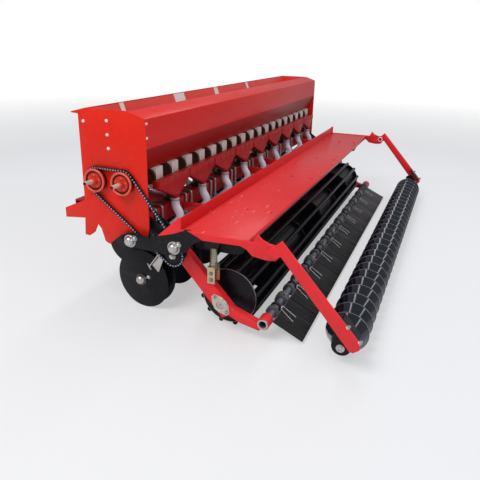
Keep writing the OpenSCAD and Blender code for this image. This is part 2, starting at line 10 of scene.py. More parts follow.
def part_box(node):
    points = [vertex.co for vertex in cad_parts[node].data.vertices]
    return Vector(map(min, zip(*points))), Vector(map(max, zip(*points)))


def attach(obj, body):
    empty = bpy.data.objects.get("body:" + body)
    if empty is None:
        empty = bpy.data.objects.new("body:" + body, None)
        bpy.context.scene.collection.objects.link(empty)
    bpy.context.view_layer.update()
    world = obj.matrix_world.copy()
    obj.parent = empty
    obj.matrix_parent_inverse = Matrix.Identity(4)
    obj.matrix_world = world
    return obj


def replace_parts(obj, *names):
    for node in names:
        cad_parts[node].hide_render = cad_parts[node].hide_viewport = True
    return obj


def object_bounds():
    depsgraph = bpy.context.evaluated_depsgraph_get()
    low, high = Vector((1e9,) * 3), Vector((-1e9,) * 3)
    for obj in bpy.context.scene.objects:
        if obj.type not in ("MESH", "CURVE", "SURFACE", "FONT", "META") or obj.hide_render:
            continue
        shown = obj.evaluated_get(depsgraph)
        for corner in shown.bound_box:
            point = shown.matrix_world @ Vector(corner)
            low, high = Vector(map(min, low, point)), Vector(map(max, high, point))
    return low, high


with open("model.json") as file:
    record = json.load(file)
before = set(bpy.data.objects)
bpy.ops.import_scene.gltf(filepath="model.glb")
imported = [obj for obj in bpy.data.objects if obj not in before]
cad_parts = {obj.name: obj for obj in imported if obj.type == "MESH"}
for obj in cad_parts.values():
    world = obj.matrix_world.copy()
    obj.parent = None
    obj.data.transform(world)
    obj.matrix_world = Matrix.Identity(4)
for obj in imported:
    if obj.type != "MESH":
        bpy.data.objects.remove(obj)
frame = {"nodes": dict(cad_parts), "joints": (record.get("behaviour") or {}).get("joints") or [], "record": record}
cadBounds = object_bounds()

# Places are measured from the left end plate's outer face and the hopper's rear face
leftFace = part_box("left_plate")[0].x
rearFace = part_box("left_plate")[0].y
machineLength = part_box("right_plate")[1].x - leftFace
jointPlace = {j["name"]: Vector(j["pos_m"]) for j in frame["joints"]}
rowPitch = 0.166
rowCount = 18
rowMargin = (machineLength - (rowCount - 1) * rowPitch) / 2


def at(x, y, z):  # from the left face and the rear face
    return Vector((leftFace + x, rearFace + y, z))


def rowX(index):
    return rowMargin + index * rowPitch


def pairX(index):  # between a row and the next
    return (rowX(index) + rowX(index + 1)) / 2


# The photograph's viewpoint
viewPoint = {
    "place": (-3.7022, -1.1406, 1.4679),
    "yaw": 1.1883,
    "pitch": 0.3402,
    "roll": 0.0234,
    "focal": 516.3,
    "centre": (243.42, 223.27),
    "image": 480,
    "sensor": 36,
}


def makeCamera(view):
    yaw, pitch, roll = view["yaw"], view["pitch"], view["roll"]
    ahead = Vector((math.sin(yaw) * math.cos(pitch), math.cos(yaw) * math.cos(pitch), -math.sin(pitch)))
    level = Vector((math.cos(yaw), -math.sin(yaw), 0))
    upright = level.cross(ahead)
    right = level * math.cos(roll) + upright * math.sin(roll)
    up = upright * math.cos(roll) - level * math.sin(roll)
    data = bpy.data.cameras.new("photoCamera")
    data.sensor_width = view["sensor"]
    data.lens = view["focal"] * view["sensor"] / view["image"]
    data.shift_x = 0.5 - view["centre"][0] / view["image"]
    data.shift_y = view["centre"][1] / view["image"] - 0.5
    camera = bpy.data.objects.new("photoCamera", data)
    camera.matrix_world = Matrix((right, up, -ahead)).transposed().to_4x4()
    camera.location = view["place"]
    bpy.context.scene.collection.objects.link(camera)
    bpy.context.scene.camera = camera


makeCamera(viewPoint)
print("camera set")


# Shader maths: a wire is one socket's output, and arithmetic on wires adds Math nodes
class Wire:
    def __init__(self, tree, socket):
        self.tree = tree
        self.socket = socket

    def maths(self, operation, first, second):
        node = self.tree.nodes.new("ShaderNodeMath")
        node.operation = operation
        for place, value in zip(node.inputs, (first, second)):
            feed(self.tree, place, value)
        return Wire(self.tree, node.outputs[0])

    def __add__(self, other):
        return self.maths("ADD", self, other)

    def __mul__(self, other):
        return self.maths("MULTIPLY", self, other)

    def __gt__(self, other):
        return self.maths("GREATER_THAN", self, other)

    def __lt__(self, other):
        return self.maths("LESS_THAN", self, other)

    __radd__ = __add__
    __rmul__ = __mul__


def feed(tree, place, value):
    if isinstance(value, Wire):
        tree.links.new(value.socket, place)
    elif place.type == "RGBA" and len(value) == 3:
        place.default_value = (*value, 1)
    else:
        place.default_value = value


class Finish:
    def __init__(self, **shaderValues):
        self.material = bpy.data.materials.new("finish")
        self.material.use_nodes = True
        self.tree = self.material.node_tree
        self.tree.nodes.clear()
        self.shader = self.tree.nodes.new("ShaderNodeBsdfPrincipled")
        output = self.tree.nodes.new("ShaderNodeOutputMaterial")
        self.tree.links.new(self.shader.outputs[0], output.inputs["Surface"])
        self.place = self.add("ShaderNodeTexCoord", output="Object")
        self.set(**shaderValues)

    def set(self, **shaderValues):  # an input's name with _ for each space
        for name, value in shaderValues.items():
            feed(self.tree, self.shader.inputs[name.replace("_", " ")], value)

    def add(self, kind, settings=None, sockets=None, output=0):
        node = self.tree.nodes.new(kind)
        for name, value in (settings or {}).items():
            if name == "stops":
                ramp = node.color_ramp
                while len(ramp.elements) < len(value):
                    ramp.elements.new(1)
                for stop, (position, shade) in zip(ramp.elements, value):
                    stop.position = position
                    stop.color = (shade, shade, shade, 1)
            else:
                setattr(node, name, value)
        for name, value in (sockets or {}).items():
            feed(self.tree, node.inputs[name], value)
        return Wire(self.tree, node.outputs[output])

    def noise(self, scale, detail=2, roughness=0.5, stretch=(1, 1, 1)):
        place = self.add("ShaderNodeMapping", sockets={"Vector": self.place, "Scale": stretch})
        return self.add("ShaderNodeTexNoise", sockets={
            "Vector": place, "Scale": scale, "Detail": detail, "Roughness": roughness})

    def ramp(self, value, low, high):
        return self.add("ShaderNodeValToRGB", {"stops": [(low, 0), (high, 1)]}, {"Fac": value})

    def mix(self, amount, first, second):
        return self.add("ShaderNodeMix", {"data_type": "RGBA"}, {0: amount, 6: first, 7: second}, output=2)

    def coordinate(self, axis):
        return self.add("ShaderNodeSeparateXYZ", sockets={0: self.place}, output=axis)

    def awayFrom(self, axis):  # distance from an axis that runs along X
        away = self.add("ShaderNodeVectorMath", {"operation": "SUBTRACT"}, {0: self.place, 1: axis})
        away = self.add("ShaderNodeVectorMath", {"operation": "MULTIPLY"}, {0: away, 1: (0, 1, 1)})
        return self.add("ShaderNodeVectorMath", {"operation": "LENGTH"}, {0: away}, output=1)

    def bump(self, height, distance, strength=1):
        self.set(Normal=self.add("ShaderNodeBump", sockets={
            "Height": height, "Distance": distance, "Strength": strength}))


def scaled(colour, factor):
    return tuple(min(1, c * factor) for c in colour)


# Colours that dust, wear and age lay over the finishes; the worn rim colour is also a painted highlight
wearColours = {
    "dust": (0.62, 0.52, 0.46),
    "scratch": (0.80, 0.30, 0.27),
    "scuff": (0.20, 0.19, 0.18),
    "wornRimAndHighlight": (0.28, 0.31, 0.36),
    "stain": (0.25, 0.20, 0.14),
    "tubeStain": (0.06, 0.06, 0.07),
    "greyRubber": (0.10, 0.098, 0.095),
    "dustyRubber": (0.085, 0.078, 0.082),
    "collarDark": (0.05, 0.055, 0.065),
    "collarPale": (0.16, 0.17, 0.19),
}


# Sprayed gloss paint: uneven, with orange peel and specks of dust; where fold is given, the colour below that height
# is darker, which is painted shade
def paintFinish(colour, roughness=0.3, dust=0.03, coat=0.1, peel=0.00035, scratches=0, shadeFold=None):
    paint = Finish(Coat_Weight=coat, Coat_Roughness=0.12, Specular_IOR_Level=0.22)
    cloud = paint.noise(3.2, 4)
    fine = paint.noise(38, 3)
    speck = paint.noise(420, 2)
    body = paint.mix(cloud, scaled(colour, 0.9), scaled(colour, 1.08))
    if scratches:
        marks = paint.ramp(paint.noise(26, 2, 0.5, (0.35, 3, 1)), 0.70, 0.73) * scratches
        body = paint.mix(marks, body, wearColours["scratch"])
    # Painted shade: below this height the colour is darkened to stand in for shade on the lower wall
    if shadeFold:
        level, shadeDepth = shadeFold
        above = paint.ramp(paint.coordinate(2), level - 0.002, level + 0.002)
        body = paint.mix(above, scaled(colour, shadeDepth), body)
    body = paint.mix(paint.ramp(fine, 0.42, 0.75) * 0.22, body, scaled(colour, 0.72))
    dusty = paint.ramp(cloud * 0.5 + speck * 0.5, 0.5, 0.72) * dust
    paint.set(Base_Color=paint.mix(dusty, body, wearColours["dust"]),
              Roughness=roughness + fine * 0.12 + dusty)
    paint.bump(paint.noise(170, 2) + paint.noise(700, 1) * 0.4, peel)
    return paint.material


# Satin or gloss black paint with grey scuffs; rim gives an axis and the distance from it beyond which the colour
# turns pale, worn paint that is also a painted highlight
def blackFinish(colour, roughness=0.38, scuff=0.25, coat=0.15, shine=0.3, coatRoughness=0.2, rim=None):
    black = Finish(Coat_Weight=coat, Coat_Roughness=coatRoughness, Specular_IOR_Level=shine)
    cloud = black.noise(6, 4)
    fine = black.noise(60, 3, 0.6)
    rubbed = black.ramp(fine * cloud * 2, 0.5, 0.72) * scuff
    body = black.mix(rubbed, colour, wearColours["scuff"])
    if rim:
        axis, reach = rim
        # Worn paint and painted highlight: the rim edge turns pale beyond the given distance from the axis
        worn = (black.awayFrom(axis) > reach) * (0.25 + cloud * 0.5)
        body = black.mix(worn, body, wearColours["wornRimAndHighlight"])
    black.set(Base_Color=body,
              Roughness=roughness * (0.8 + cloud * 0.5) + rubbed * 0.3)
    black.bump(black.noise(240, 3), 0.0012 * roughness)
    return black.material


# Drawn or plated steel, with fine lines along the machine
def metalFinish(colour, roughness=0.3, stain=0.3, stainColour=wearColours["stain"]):
    steel = Finish(Metallic=1.0)
    cloud = steel.noise(22, 4)
    lines = steel.noise(260, 2, 0.5, (0.08, 1, 1))
    stained = steel.ramp(cloud, 0.52, 0.75) * stain
    steel.set(Base_Color=steel.mix(stained, steel.mix(lines, scaled(colour, 0.86), colour), stainColour),
              Roughness=roughness + lines * 0.12 + stained * 0.4)
    steel.bump(lines, 0.0002)
    return steel.material


# Moulded plastic with a fine grain and patches of dust
def plasticFinish(colour, roughness=0.45, shine=0.35):
    plastic = Finish(Specular_IOR_Level=shine, Subsurface_Weight=0.08, Subsurface_Radius=(0.006, 0.005, 0.004))
    cloud = plastic.noise(9, 3)
    speck = plastic.noise(150, 3)
    grime = plastic.ramp(cloud * 0.6 + speck * 0.4, 0.5, 0.7) * 0.35
    plastic.set(Base_Color=plastic.mix(grime, colour, scaled(colour, 0.62)), Roughness=roughness + speck * 0.15)
    plastic.bump(plastic.noise(900, 2), 0.00015)
    return plastic.material


# Matt rubber, scratched along its fall; round the axis it is a grey collar, and dustier to the right
def rubberFinish(colour, collarAt=None, collarRadius=0.0375):
    rubber = Finish(Specular_IOR_Level=0.3)
    cloud = rubber.noise(7, 4)
    scratch = rubber.noise(45, 4, 0.6, (1, 0.12, 0.12))
    worn = rubber.ramp(scratch * 0.7 + cloud * 0.3, 0.5, 0.68) * 0.45
    body = rubber.mix(worn, colour, wearColours["greyRubber"])
    if collarAt:
        dusty = rubber.ramp(rubber.coordinate(0) * 0.4 + cloud * 0.5, 0.3, 0.75) * 0.7
        body = rubber.mix(dusty, body, wearColours["dustyRubber"])
        collar = rubber.mix(cloud, wearColours["collarDark"], wearColours["collarPale"])
        body = rubber.mix(rubber.awayFrom(collarAt) < collarRadius, body, collar)
    rubber.set(Base_Color=body, Roughness=0.42 + cloud * 0.2)
    rubber.bump(rubber.noise(320, 3) + scratch * 0.6, 0.0006)
    return rubber.material


finishes = {
    "hopper_red": paintFinish((0.80, 0.017, 0.005), dust=0.015),
    # The hopper wall's red, darkened below z = 0.955 as painted shade
    "hopperWallRed": paintFinish((0.70, 0.013, 0.009), dust=0.015, shadeFold=(0.955, 0.38)),
    "inner_red": paintFinish((0.34, 0.006, 0.006), 0.4),
    "frame_red": paintFinish((0.36, 0.006, 0.012), 0.35),
    "plank_red": paintFinish((0.76, 0.010, 0.013), 0.26),
    "footboardRed": paintFinish((0.74, 0.006, 0.009), 0.26, 0.02, scratches=0.8),
    "funnelRed": paintFinish((0.46, 0.008, 0.010), 0.34, coat=0.1),
    "arm_red": paintFinish((0.86, 0.026, 0.034), 0.3),
    "wheelRed": paintFinish((0.62, 0.030, 0.016), 0.3),
    # Painted highlight: a paler red for the wheel rims and their bolts
    "rimRed": paintFinish((0.86, 0.12, 0.075), 0.25),
    "shaftIvory": plasticFinish((0.62, 0.56, 0.44), 0.3, 0.6),
    # Painted highlight: pale grey-blue chain pins give each link a bright dot
    "pinGrey": plasticFinish((0.50, 0.53, 0.62), 0.3, 0.6),
    # Painted light: the mouth's lip and straps are coloured lighter to stand in for light on the inner front wall
    "mouthRed": paintFinish((0.95, 0.070, 0.050), 0.3),
    "paleRed": paintFinish((0.95, 0.84, 0.81), 0.25),
    "disc_black": blackFinish((0.003, 0.003, 0.006), 0.34, 0.03, 0.05, 0.22),
    "cast_black": blackFinish((0.003, 0.003, 0.005), 0.42, 0.05, 0.05, 0.22),
    # The ring roller's rim edges carry the pale worn paint and painted highlight
    "roller_black": blackFinish((0.002, 0.004, 0.011), 0.10, 0.02, 0.45, 0.36, 0.04,
                                rim=(jointPlace["ring_spin"], 0.1085)),
    "meter_plastic": plasticFinish((0.80, 0.71, 0.67)),
    "cupBrown": plasticFinish((0.060, 0.024, 0.012), 0.4),
    "nylon": plasticFinish((0.78, 0.74, 0.68), 0.4),
    "dullSteel": metalFinish((0.42, 0.40, 0.38), 0.38),
    "oiledSteel": metalFinish((0.30, 0.31, 0.36), 0.25),
    "paleZinc": metalFinish((0.74, 0.70, 0.62), 0.34, 0.2),
    # Painted highlight: pale lines on the black flaps
    "paleEdge": plasticFinish((0.70, 0.70, 0.70), 0.5),
    "hose_plastic": plasticFinish((0.86, 0.79, 0.90), 0.35, 0.5),
    "clamp_green": paintFinish((0.022, 0.075, 0.038), 0.4),
    "zinc_yellow": metalFinish((0.72, 0.60, 0.36), 0.32),
    "bright_steel": metalFinish((0.62, 0.60, 0.57), 0.28),
    "tubeGrey": metalFinish((0.24, 0.26, 0.30), 0.45, 0.5, wearColours["tubeStain"]),
    # Painted highlight: rivets in near-white paint instead of steel so they read bright
    "rivetWhite": plasticFinish((0.86, 0.81, 0.78), 0.4),
    "chain_steel": metalFinish((0.050, 0.055, 0.075), 0.35),
    "flap_rubber": rubberFinish((0.007, 0.007, 0.008), jointPlace["flap_swing"]),
    "sleeveRubber": rubberFinish((0.012, 0.012, 0.014)),
}
for name, material in finishes.items():
    first, *others = name.split("_")
    material.name = first + "".join(word.capitalize() for word in others)
print("finishes made", len(finishes))


# An object with its slot's finish or another, riding on its body; edges sharper than the angle stay sharp
def makePiece(form, name, slot="bright_steel", body="root", angle=35, finish=None):
    bmesh.ops.remove_doubles(form, verts=form.verts, dist=0.00001)
    bmesh.ops.recalc_face_normals(form, faces=form.faces)
    mesh = bpy.data.meshes.new(name)
    form.to_mesh(mesh)
    form.free()
    for polygon in mesh.polygons:
        polygon.use_smooth = True
    mesh.set_sharp_from_angle(angle=math.radians(angle))
    mesh.materials.append(finishes[finish or slot])
    piece = bpy.data.objects.new(name, mesh)
    bpy.context.scene.collection.objects.link(piece)
    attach(piece, body)
    return piece


slotOf = {part["node"]: part["material_slot"] for part in frame["record"]["subparts"]}
bodyOf = {node: body for body, nodes in frame["record"]["behaviour"]["bodies"].items() for node in nodes}


def roundEdges(form, edges, width):
    bmesh.ops.bevel(form, geom=edges, offset=width, offset_type="OFFSET", segments=2, profile=0.5,
                    affect="EDGES", material=-1, clamp_overlap=True)


# A CAD node's own shape with its edges rounded
def softenNode(node, finish=None, width=0.0015):
    form = bmesh.new()
    form.from_mesh(frame["nodes"][node].data)
    bmesh.ops.remove_doubles(form, verts=form.verts, dist=0.00001)
    bmesh.ops.dissolve_limit(form, angle_limit=math.radians(1), verts=form.verts, edges=form.edges)
    sharp = [e for e in form.edges if e.is_manifold and e.calc_face_angle() > math.radians(28)]
    roundEdges(form, sharp, width)
    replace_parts(makePiece(form, node + "_shape", slotOf[node], bodyOf[node], finish=finish), node)


# Floor, backdrop and light: a plain pale studio
studio = {
    "floorSize": 40,
    "floorGap": 0.0005,
    "fadeFrom": 4.5,
    "fadeTo": 11,
    "floorColour": (0.80, 0.82, 0.86),
    "floorGlow": 0.45,
    "sky": (0.93, 0.95, 1.0),
    "skyLevel": 0.42,
    "backdrop": (1, 1, 1),
    "lamps": [
        # name, place, aim, size along X and across, watts, colour
        ("keyLamp", (-5.5, 1.5, 6.0), (-0.6, 0, 0.7), (3.5, 3.5), 255, (1.0, 0.97, 0.93)),
        ("fillLamp", (-3.5, -6.0, 4.0), (0, 0, 0.6), (4.5, 4.5), 75, (0.95, 0.97, 1.0)),
        ("topStrip", (1.2, 0.5, 5.0), (1.2, 0.49, 0), (5.0, 0.6), 48, (1.0, 1.0, 1.0)),
        ("rearStrip", (1.2, -5.0, 4.6), (1.2, -0.8, 0.2), (5.0, 0.6), 45, (1.0, 1.0, 1.0)),
    ],
}


# The floor glows a little where the camera sees it, and fades out into the backdrop
def makeFloor(plan):
    form = bmesh.new()
    bmesh.ops.create_grid(form, x_segments=1, y_segments=1, size=plan["floorSize"] / 2)
    mesh = bpy.data.meshes.new("floor")
    form.to_mesh(mesh)
    form.free()
    floor = bpy.data.objects.new("floor", mesh)
    floor.location.z = cadBounds[0].z - plan["floorGap"]
    bpy.context.scene.collection.objects.link(floor)
    finish = Finish(Roughness=0.85, Specular_IOR_Level=0.1)
    finish.material.name = "paleFloor"
    seenGlow = finish.add("ShaderNodeLightPath", output="Is Camera Ray") * plan["floorGlow"]
    pale = finish.mix(finish.noise(0.8, 3) * 0.3, plan["floorColour"], scaled(plan["floorColour"], 0.96))
    finish.set(Base_Color=finish.mix(seenGlow, pale, (0, 0, 0)), Emission_Strength=1,
               Emission_Color=finish.mix(seenGlow, (0, 0, 0), (1, 1, 1)))
    away = finish.add("ShaderNodeVectorMath", {"operation": "LENGTH"}, {0: finish.place}, output=1)
    finish.set(Alpha=finish.add("ShaderNodeMapRange", sockets={
        "Value": away, "From Min": plan["fadeFrom"], "From Max": plan["fadeTo"], "To Min": 1.0, "To Max": 0.0}))
    mesh.materials.append(finish.material)


# The sky lights the scene, and the camera sees the plain backdrop instead
def makeWorld(plan):
    world = bpy.data.worlds.new("studio")
    bpy.context.scene.world = world
    world.use_nodes = True
    tree = world.node_tree
    tree.nodes.clear()
    blend = tree.nodes.new("ShaderNodeMixShader")
    path = tree.nodes.new("ShaderNodeLightPath")
    feed(tree, blend.inputs[0], Wire(tree, path.outputs["Is Camera Ray"]))
    for place, colour, level in ((1, plan["sky"], plan["skyLevel"]), (2, plan["backdrop"], 1)):
        light = tree.nodes.new("ShaderNodeBackground")
        feed(tree, light.inputs["Color"], colour)
        feed(tree, light.inputs["Strength"], level)
        tree.links.new(light.outputs[0], blend.inputs[place])
    output = tree.nodes.new("ShaderNodeOutputWorld")
    tree.links.new(blend.outputs[0], output.inputs["Surface"])


def makeLamps(plan):
    for name, place, aim, size, watts, colour in plan["lamps"]:
        data = bpy.data.lights.new(name, "AREA")
        data.shape = "ELLIPSE" if size[0] == size[1] else "RECTANGLE"
        data.size, data.size_y = size
        data.energy = watts
        data.color = colour
        lamp = bpy.data.objects.new(name, data)
        lamp.location = place
        lamp.rotation_euler = (Vector(aim) - Vector(place)).to_track_quat("-Z", "Y").to_euler()
        bpy.context.scene.collection.objects.link(lamp)


makeFloor(studio)
makeWorld(studio)
makeLamps(studio)
bpy.context.scene.view_settings.view_transform = "Standard"
print("studio lit")

# Nodes whose finish isn't their slot's own, and nodes that finer pieces replace further down
nodeFinish = {"seed_shaft": "wheelRed", "feed_shaft": "wheelRed", "hopper_shell": "hopperWallRed",
              "plank": "footboardRed", "rear_funnels": "funnelRed", "front_funnels": "funnelRed",
              "flap_tube": "tubeGrey"}
remade = ("drive_chain", "rear_hoses", "front_hoses", "rear_arms", "ring_roller")
for node in frame["nodes"]:
    if node not in remade:
        softenNode(node, nodeFinish.get(node))
print("nodes dressed")


# Revolves (along, radius) steps about the axis that leaves a place in a direction
def turned(form, place, along, profile, sides=20):
    along = Vector(along).normalized()
    side = along.orthogonal().normalized()
    verts = [form.verts.new(Vector(place) + along * step + side * radius) for step, radius in profile]
    edges = [form.edges.new(pair) for pair in zip(verts, verts[1:])]
    bmesh.ops.spin(form, geom=verts + edges, cent=place, axis=along, angle=math.tau, steps=sides,
                   use_merge=True, use_duplicate=False)


# Domed cap that stands on a face, a half ball unless its height is given
def dome(form, place, along, radius, height=None, sides=24):
    half = math.asin(height / radius) if height else math.pi / 2
    profile = [(radius * math.sin(half * i / 6), radius * math.cos(half * i / 6)) for i in range(7)]
    turned(form, place, along, profile + [(profile[-1][0], 0)], sides)


# Hexagon nut or head with its washer, chamfered, and the bolt's end through it
def nut(form, place, along, width, washer=1.45, tail=0.4):
    radius = width / math.sqrt(3)
    rise, thick = width * 0.1, width * 0.45
    top = rise + thick
    end = top + width * tail
    turned(form, place, along, [(0, 0), (0, radius * washer), (rise, radius * washer), (rise, 0)], 20)
    turned(form, place, along, [(rise, radius), (rise + thick * 0.85, radius), (top, radius * 0.85), (top, 0)], 6)
    turned(form, place, along, [(top, radius * 0.52), (end, radius * 0.52), (end, 0)], 12)


# Smooth curve through a few points
def smoothPath(points, perSpan=14):
    points = [Vector(p) for p in points]
    ends = [points[0] * 2 - points[1], *points, points[-1] * 2 - points[-2]]
    path = []
    for a, b, c, d in zip(ends, ends[1:], ends[2:], ends[3:]):
        for i in range(perSpan):
            t = i / perSpan
            path.append(0.5 * ((2 * b) + (c - a) * t + (2 * a - 5 * b + 4 * c - d) * t * t
                               + (3 * b - a - 3 * c + d) * t ** 3))
    return path + [points[-1]]


# Points at even steps along a path
def evenPath(path, step):
    lengths = [0]
    for a, b in zip(path, path[1:]):
        lengths.append(lengths[-1] + (b - a).length)
    count = max(2, round(lengths[-1] / step))
    spaced = []
    span = 0
    for i in range(count + 1):
        goal = lengths[-1] * i / count
        while span < len(path) - 2 and lengths[span + 1] < goal:
            span += 1
        share = (goal - lengths[span]) / (lengths[span + 1] - lengths[span])
        spaced.append(path[span].lerp(path[span + 1], min(1, share)))
    return spaced


# Round tube along a path; swell gives the radius at each point
def tube(form, path, radius, sides=10, swell=None):
    side = (path[1] - path[0]).orthogonal().normalized()
    rings = []
    for i, point in enumerate(path):
        ahead = (path[min(i + 1, len(path) - 1)] - path[max(i - 1, 0)]).normalized()
        side = (side - ahead * side.dot(ahead)).normalized()
        other = ahead.cross(side)
        reach = swell(i) if swell else radius
        ring = []
        for j in range(sides):
            turn = math.tau * j / sides
            ring.append(form.verts.new(point + (side * math.cos(turn) + other * math.sin(turn)) * reach))
        rings.append(ring)
    for ring, after in zip(rings, rings[1:]):
        for j in range(sides):
            form.faces.new((ring[j], ring[(j + 1) % sides], after[(j + 1) % sides], after[j]))
    form.faces.new(rings[0][::-1])
    form.faces.new(rings[-1])


def newForms(count):
    return [bmesh.new() for i in range(count)]


# Makes a flat face solid by a step away from it
def thicken(form, face, step):
    moved = bmesh.ops.extrude_face_region(form, geom=[face])
    bmesh.ops.translate(form, vec=step, verts=[v for v in moved["geom"] if isinstance(v, bmesh.types.BMVert)])


# Flat outline in Y and Z made solid from x to x + thick
def plate(form, x, thick, outline):
    face = form.faces.new([form.verts.new(at(x, y, z)) for y, z in outline])
    thicken(form, face, (thick, 0, 0))


# Both ends of the machine: the place of x measured from that end, and the outward direction
ends = (
    (lambda x: x, Vector((-1, 0, 0))),
    (lambda x: machineLength - x, Vector((1, 0, 0))),
)


# The same plate with x measured from one end
def endPlate(form, endX, x, thick, outline):
    plate(form, min(endX(x), endX(x + thick)), thick, outline)


def yz(joint):  # a joint's y and z as at() takes them
    place = jointPlace[joint]
    return place.y - rearFace, place.z


# Rivets on the end plates and the small bolts at their rear edges, near-white as a painted highlight
plateFixings = {
    "rivets": [(0.363, 1.067), (0.221, 1.079), (0.222, 1.009), (0.220, 0.940)],
    "rivetRadius": 0.0085,
    "rivetHeight": 0.0045,
    "edgeBolts": [1.079, 1.009],
    "edgeBoltX": 0.012,
    "edgeBoltRadius": 0.007,
    "edgeBoltHeight": 0.004,
}


def makePlateFixings(plan):
    form = bmesh.new()
    for endX, outward in ends:
        for y, z in plan["rivets"]:
            dome(form, at(endX(0), y, z), outward, plan["rivetRadius"], plan["rivetHeight"], 16)
        for z in plan["edgeBolts"]:
            dome(form, at(endX(plan["edgeBoltX"]), 0, z), (0, -1, 0), plan["edgeBoltRadius"],
                 plan["edgeBoltHeight"], 12)
    makePiece(form, "plate_rivets", finish="rivetWhite")


makePlateFixings(plateFixings)


# Sloped lip under the mouth's front edge, with pale straps over it; the lip's lighter red and the straps' pale
# colour are painted light on the mouth's inner front wall
straps = {
    "spans": [(0.287, 0.324), (0.885, 1.020), (1.487, 1.549), (2.12, 2.16)],
    "edgeY": 0.3495, "edgeZ": 1.129, "footY": 0.328, "footZ": 1.072, "thick": 0.003,
    "lipX": 0.008, "strapY": -0.0021, "strapRise": 0.0004,
}


def makeStraps(plan):
    edge, foot, thick = plan["edgeY"], plan["footY"], plan["thick"]
    section = [(edge, plan["edgeZ"]), (edge, plan["edgeZ"] - 2 * thick), (foot, plan["footZ"] - thick),
               (foot - thick, plan["footZ"]), (edge - thick, plan["edgeZ"])]
    lip, form = newForms(2)
    plate(lip, plan["lipX"], machineLength - 2 * plan["lipX"], section)
    makePiece(lip, "mouth_lip", "hopper_red", finish="mouthRed")
    for low, high in plan["spans"]:
        plate(form, low, high - low, [(y + plan["strapY"], z + plan["strapRise"]) for y, z in section])
    makePiece(form, "mouth_straps", "hopper_red", finish="paleRed")


makeStraps(straps)
print("hopper fixings made")


# Flanged wheels on the metering shafts: raised rim and dish bolts in a paler red as a painted highlight, a black
# drum behind the wheel as painted shade, a dark groove ring, pale shaft ends
driveWheel = {
    "faceX": -0.033, "rimRadius": 0.0565, "rimTube": 0.0058, "rimSteps": 8,
    "boltRing": 0.030, "boltWidth": 0.009, "bolts": 5, "boltTurn": 0.3, "centreRise": 0.010, "centreWidth": 0.026,
    "drumX": -0.0226, "drumRadius": 0.0572, "drumBore": 0.024, "drumDepth": 0.0192,
    "grooveInner": 0.044, "grooveOuter": 0.049, "grooveFoot": -0.001, "grooveTop": 0.0004,
    "tipX": -0.110, "tipRadius": 0.0104, "tipLength": 0.062, "tipChamfer": 0.002,
}


# Profile of a ring with a square section
def squareRing(low, high, inner, outer):
    return [(low, inner), (high, inner), (high, outer), (low, outer), (low, inner)]


def makeDriveWheels(plan):
    outward = ends[0][1]
    for joint, body in (("seed_spin", "seed_shaft"), ("feed_spin", "feed_shaft")):
        y, z = yz(joint)
        face = at(plan["faceX"], y, z)
        rim, drum, bolts, tips = newForms(4)
        turns = [math.pi * i / plan["rimSteps"] for i in range(plan["rimSteps"] + 1)]
        turned(rim, face, outward, [
            (plan["rimTube"] * math.sin(turn), plan["rimRadius"] - plan["rimTube"] * math.cos(turn))
            for turn in turns], 56)
        makePiece(rim, body + "_wheel_rim", "arm_red", body, finish="rimRed")
        # Painted shade: a black drum fills the gap between wheel and end plate to stand in for the shade there
        turned(drum, at(plan["drumX"], y, z), -outward,
               squareRing(0, plan["drumDepth"], plan["drumBore"], plan["drumRadius"]), 40)
        turned(drum, face, outward,
               squareRing(plan["grooveFoot"], plan["grooveTop"], plan["grooveInner"], plan["grooveOuter"]), 48)
        makePiece(drum, body + "_shade_drum", "cast_black", body)
        for i in range(plan["bolts"]):
            turn = math.tau * (i + plan["boltTurn"]) / plan["bolts"]
            spot = face + Vector((0, math.cos(turn), math.sin(turn))) * plan["boltRing"]
            nut(bolts, spot, outward, plan["boltWidth"], 1.25, 0.2)
        nut(bolts, face + outward * plan["centreRise"], outward, plan["centreWidth"], 1.1, 0)
        makePiece(bolts, body + "_wheel_bolts", "bright_steel", body, finish="rimRed")
        radius, length = plan["tipRadius"], plan["tipLength"]
        for endX, out in ends:
            turned(tips, at(endX(plan["tipX"]), y, z) - out * length, out, [
                (0, radius), (length - plan["tipChamfer"], radius), (length, radius * 0.8), (length, 0)], 20)
        makePiece(tips, body + "_tips", "zinc_yellow", body, finish="shaftIvory")


makeDriveWheels(driveWheel)


# Roller chain round the three sprockets, in the loop's own plane
chain = {
    "middleX": -0.012, "pitch": 0.015875, "rollerRadius": 0.005, "pinRadius": 0.0035, "plateHalf": 0.0066,
    "waist": 0.0048, "plateThick": 0.0016, "innerX": 0.0032, "outerX": 0.0049,
    "line": 0.0064, "lowRadius": 0.050, "topRadius": 0.058, "arcSteps": 24, "pinRise": 0.0008,
}


def chainPath(plan):
    wheels = [(*yz("jack_spin"), plan["lowRadius"]), (*yz("feed_spin"), plan["topRadius"]),
              (*yz("seed_spin"), plan["topRadius"])]
    wheels = [(y, z, radius + plan["line"]) for y, z, radius in wheels]

    def leave(a, b):
        reach = math.hypot(b[0] - a[0], b[1] - a[1])
        return math.atan2(b[1] - a[1], b[0] - a[0]) - math.pi / 2 + math.asin((b[2] - a[2]) / reach)

    path = []
    for i, wheel in enumerate(wheels):
        start = leave(wheels[i - 1], wheel)
        arc = (leave(wheel, wheels[(i + 1) % 3]) - start) % math.tau
        for j in range(plan["arcSteps"] + 1):
            turn = start + arc * j / plan["arcSteps"]
            path.append(at(plan["middleX"], wheel[0] + wheel[2] * math.cos(turn),
                           wheel[1] + wheel[2] * math.sin(turn)))
    return path + [path[0]]


